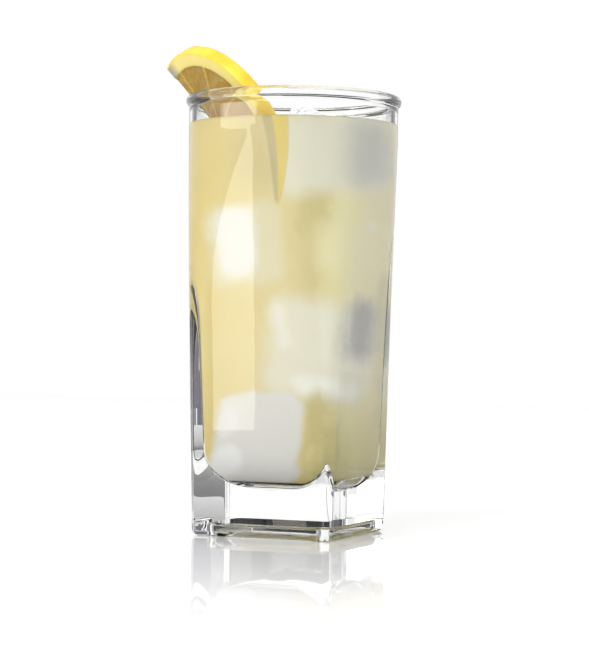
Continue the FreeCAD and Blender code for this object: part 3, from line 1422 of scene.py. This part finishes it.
@dataclass
class Studio:
    """The pale floor, soft light, cards and camera."""

    floor_size: float = 3.0
    mirror: float = 0.62
    mirror_reach: float = 0.36
    mirror_blur: float = 0.02
    floor_tone: float = 0.8
    floor_glow: float = 0.20
    # under_foot: painted shadow, black under the glass
    under_foot: tuple[float, float] = (22.5 * MM, 20.0 * MM)  # where the floor under the glass turns dark
    # dark_aside and dark_sectors: painted shade seen through the glass only
    dark_aside: DarkSector = DarkSector(-21.0 * MM, -20.0 * MM, -11.8 * MM, -11.4 * MM, 0.60)
    dark_sectors: tuple[DarkSector, ...] = (
        DarkSector(22.0, 26.0, 49.0, 52.0, 0.35), DarkSector(50.0, 53.0, 70.0, 75.0, 0.86),
        DarkSector(-128.0, -124.0, -120.0, -117.0, 0.86))
    world_light: float = 0.95
    camera_distance: float = 0.700
    camera_height: float = 0.062
    camera_pitch: float = 0.27
    camera_roll: float = 0.65
    camera_shift: float = 0.0048
    lens: float = 116.3
    lamp_place: tuple[float, float, float] = (-0.6, -0.9, 0.9)  # across, away and up
    lamp_aim: tuple[float, float, float] = (0.0, 0.0, 0.075)
    lamp_side: float = 0.8
    lamp_power: float = 9.0
    cards: tuple[Card, ...] = (
        Card("behind_slot", ((0.006, -26.0, 26.0), (0.110, -26.0, 26.0)), tint(0, 0, 0)),
        Card("right_behind", ((0.030, 30.0, 60.0), (0.200, 30.0, 60.0)), tint(112, 108, 122),
             tint(90, 88, 100)),
        Card("right_low", ((0.0, 32.0, 62.0), (0.040, 32.0, 62.0)), tint(120, 120, 120),
             tint(236, 236, 236), seen=Seen.MIRRORED),
        Card("left_flag", ((0.0, -75.0, -30.0), (0.300, -75.0, -30.0)), tint(128, 128, 132),
             tint(56, 56, 60)),
        Card("overhead", ((0.300, -60.0, 20.0), (0.440, -60.0, 20.0)), tint(0, 0, 0)),
        Card("strip", ((0.006, -134.4, -131.2), (0.120, -134.4, -131.2), (0.128, -134.4, -129.5),
                       (0.138, -134.4, -119.4), (0.148, -134.6, -110.0), (0.161, -140.0, -97.0),
                       (0.230, -140.0, -97.0)),
             (1.0, 0.97, 0.9, 1.0), glow=4.2, distance=0.352, seen=Seen.MIRRORED),
    )

    def floor(self) -> bpy.types.Object:
        """The pale, slightly polished floor, whose mirror image fades away from the glass. It has a painted
        shadow under the glass, painted shade seen through the glass, and is painted darker in reflections
        near the glass.

        Returns:
            The floor.
        """
        half = self.floor_size / 2
        mesh = bpy.data.meshes.new("floor")
        mesh.from_pydata([(-half, -half, 0), (half, -half, 0), (half, half, 0), (-half, half, 0)],
                         [], [(0, 1, 2, 3)])
        floor = show("floor", mesh)
        finish = Finish("pale_floor")
        material, graph = finish.begin()
        x, y, _ = graph.parts(graph.add("ShaderNodeTexCoord").outputs["Object"])
        away = (x * x + y * y).root()
        cosine, sine = math.cos(SERVING_TURN), math.sin(SERVING_TURN)
        across, beyond = x * cosine + y * sine, y * cosine - x * sine
        bearing = graph.maths("ARCTAN2", across, beyond) * (180 / math.pi)
        aside = across / (1.0 + beyond / self.camera_distance)
        dark = self.dark_aside.mask(aside) * beyond.above(0.0)
        for sector in self.dark_sectors:
            dark = dark.most(sector.mask(bearing))
        direct, through = graph.unscattered(), graph.ray("Is Transmission Ray")
        mirrored = graph.ray("Is Glossy Ray") * (1.0 - through) * direct
        # painted shadow under the glass, and painted shade in the sectors seen through the glass
        outside_painted_shade = 1.0 - x.size().most(y.size()).rise(*self.under_foot)
        outside_painted_shade = outside_painted_shade * (1.0 - dark * through * direct)
        # painted shade: the floor looks darker in reflections near the glass
        outside_painted_shade = outside_painted_shade * (1.0 - away.rise(0.9, 0.10) * mirrored * 0.8)
        tone = (self.floor_tone,) * 3 + (1.0,)
        lit = graph.add("ShaderNodeBsdfDiffuse", inputs={"Color": graph.blend(outside_painted_shade, BLACK, tone)})
        glow = graph.add("ShaderNodeEmission", inputs={
            "Color": graph.blend(outside_painted_shade * graph.seen(), BLACK, WHITE), "Strength": self.floor_glow})
        base = graph.add("ShaderNodeAddShader", inputs={0: lit.outputs[0], 1: glow.outputs[0]})
        share = away.rise(self.mirror_reach, 0.0) * self.mirror * outside_painted_shade
        finish.end(graph, graph.layered(share, base.outputs[0], graph.mirror(self.mirror_blur)))
        mesh.materials.append(material)
        return floor

    def world(self) -> None:
        """White to the camera and through glass, softer as light."""
        world = bpy.data.worlds.new("studio")
        bpy.context.scene.world = world
        world.use_nodes = True
        world.node_tree.nodes.clear()
        graph = Graph(world.node_tree)
        strength = graph.seen() * (1.0 - self.world_light) + self.world_light
        back = graph.add("ShaderNodeBackground", inputs={"Color": WHITE, "Strength": strength})
        graph.add("ShaderNodeOutputWorld", inputs={"Surface": back.outputs[0]})

    def lamp(self) -> bpy.types.Object:
        """The one soft lamp, at the left in front, aimed at the glass.

        Returns:
            The lamp.
        """
        light = bpy.data.lights.new("key", "AREA")
        light.shape, light.size, light.energy = "SQUARE", self.lamp_side, self.lamp_power
        lamp = show("key", light)
        lamp.location = served(*self.lamp_place)
        way = served(*self.lamp_aim) - lamp.location
        lamp.rotation_euler = way.to_track_quat("-Z", "Y").to_euler()
        return lamp

    def camera(self) -> bpy.types.Object:
        """The camera, low and a little to the right of the wide flat.

        Returns:
            The camera.
        """
        data = bpy.data.cameras.new("camera")
        data.lens = self.lens
        data.sensor_width = 36.0
        data.shift_x = self.camera_shift
        camera = show("camera", data)
        camera.location = served(0.0, -self.camera_distance, self.camera_height)
        look = Matrix.Rotation(SERVING_TURN, 4, "Z") @ Matrix.Rotation(
            math.radians(90 + self.camera_pitch), 4, "X") @ Matrix.Rotation(
            math.radians(self.camera_roll), 4, "Z")
        camera.rotation_euler = look.to_euler()
        bpy.context.scene.camera = camera
        return camera

    def build(self) -> None:
        """Builds the whole studio."""
        scene = bpy.context.scene
        scene.view_settings.view_transform = "Standard"
        scene.cycles.max_bounces = 16
        scene.cycles.diffuse_bounces = 12
        self.camera()
        self.world()
        self.floor()
        for card in self.cards:
            card.build()
        self.lamp()


# ---------------------------------------------------------------- the whole

# The pale ones are the sunk ice; the grey and olive ones are painted shade; the small white streaks and thin
# bright lines are painted highlights.
ICE_AND_PAINTED_LIGHT_PATCHES = (
    IceAndPaintedLightPatch(6.5, 104.0, 5.5, 8.5, 0.0, 3.0, 0.80, tint(204, 190, 128)),
    IceAndPaintedLightPatch(12.0, 121.5, 17.0, 13.0, 8.0, 4.0, 0.85, tint(236, 234, 214)),
    IceAndPaintedLightPatch(23.0, 123.0, 7.0, 9.5, 0.0, 6.0, 0.70, tint(190, 192, 190)),
    IceAndPaintedLightPatch(19.0, 93.0, 10.0, 8.0, 0.0, 5.0, 0.80, tint(250, 240, 186)),
    IceAndPaintedLightPatch(24.5, 99.0, 2.6, 3.0, 30.0, 1.6, 0.85, tint(255, 250, 226)),
    IceAndPaintedLightPatch(-14.5, 93.0, 12.0, 12.5, 3.0, 2.6, 0.80, tint(234, 226, 188)),
    IceAndPaintedLightPatch(-17.5, 93.5, 6.5, 10.5, 2.0, 2.8, 0.90, tint(250, 248, 244)),
    IceAndPaintedLightPatch(9.0, 60.0, 16.0, 15.0, -10.0, 4.0, 0.85, tint(238, 235, 214)),
    IceAndPaintedLightPatch(21.0, 66.0, 4.5, 9.5, -4.0, 4.5, 0.85, tint(152, 152, 152)),
    IceAndPaintedLightPatch(10.5, 48.0, 10.0, 2.4, -12.0, 2.2, 0.90, tint(255, 250, 232)),
    IceAndPaintedLightPatch(-3.0, 67.0, 2.2, 9.0, 14.0, 2.2, 0.70, tint(250, 246, 230)),
    IceAndPaintedLightPatch(-10.0, 31.0, 14.0, 14.5, 0.0, 1.8, 0.88, tint(228, 228, 228)),
    IceAndPaintedLightPatch(-20.0, 24.0, 5.5, 4.5, 35.0, 2.0, 0.85, tint(252, 252, 250)),
    IceAndPaintedLightPatch(-19.5, 37.0, 3.0, 6.0, -20.0, 2.0, 0.70, tint(246, 246, 242)),
    IceAndPaintedLightPatch(9.0, 32.0, 2.6, 15.0, 0.0, 2.5, 0.75, tint(186, 172, 116)),
    IceAndPaintedLightPatch(29.0, 60.0, 2.5, 26.0, 0.0, 3.0, 0.45, tint(184, 176, 142)),
)


def main() -> None:
    """Builds every piece in order, then the studio."""
    logging.basicConfig(level=logging.INFO, format="%(message)s")
    form = TumblerForm()
    sunk = SunkIce("sunk_ice")
    pieces: list[bpy.types.Object] = [
        Tumbler(form, ClearGlass("clear_glass")).build(),
        Drink(form, CloudyDrink("cloudy_drink", patches=ICE_AND_PAINTED_LIGHT_PATCHES)).build(),
        LemonSlice().build(),
        IceCube("ice_floating", (9.5, 6.0, 121.8), (-0.42, 0.10, 0.90), 20.0,
                FloatingIce("floating_ice"), node="ice_cube").build(),
        IceCube("ice_left", (-5.0, -2.0, 92.0), (0.75, -0.45, 0.60), 6.0, sunk, side=24.0 * MM).build(),
        IceCube("ice_right", (3.0, 0.0, 61.5), (0.45, -0.45, 0.75), 12.0, sunk, side=24.0 * MM).build(),
        IceCube("ice_low", (-2.5, 0.0, 33.0), (0.58, -0.56, 0.59), 0.0, sunk, side=20.0 * MM).build(),
    ]
    for piece in pieces:
        log.info("%s: %d faces", piece.name, len(piece.data.polygons))
    Studio().build()


if __name__ == "__main__":
    main()
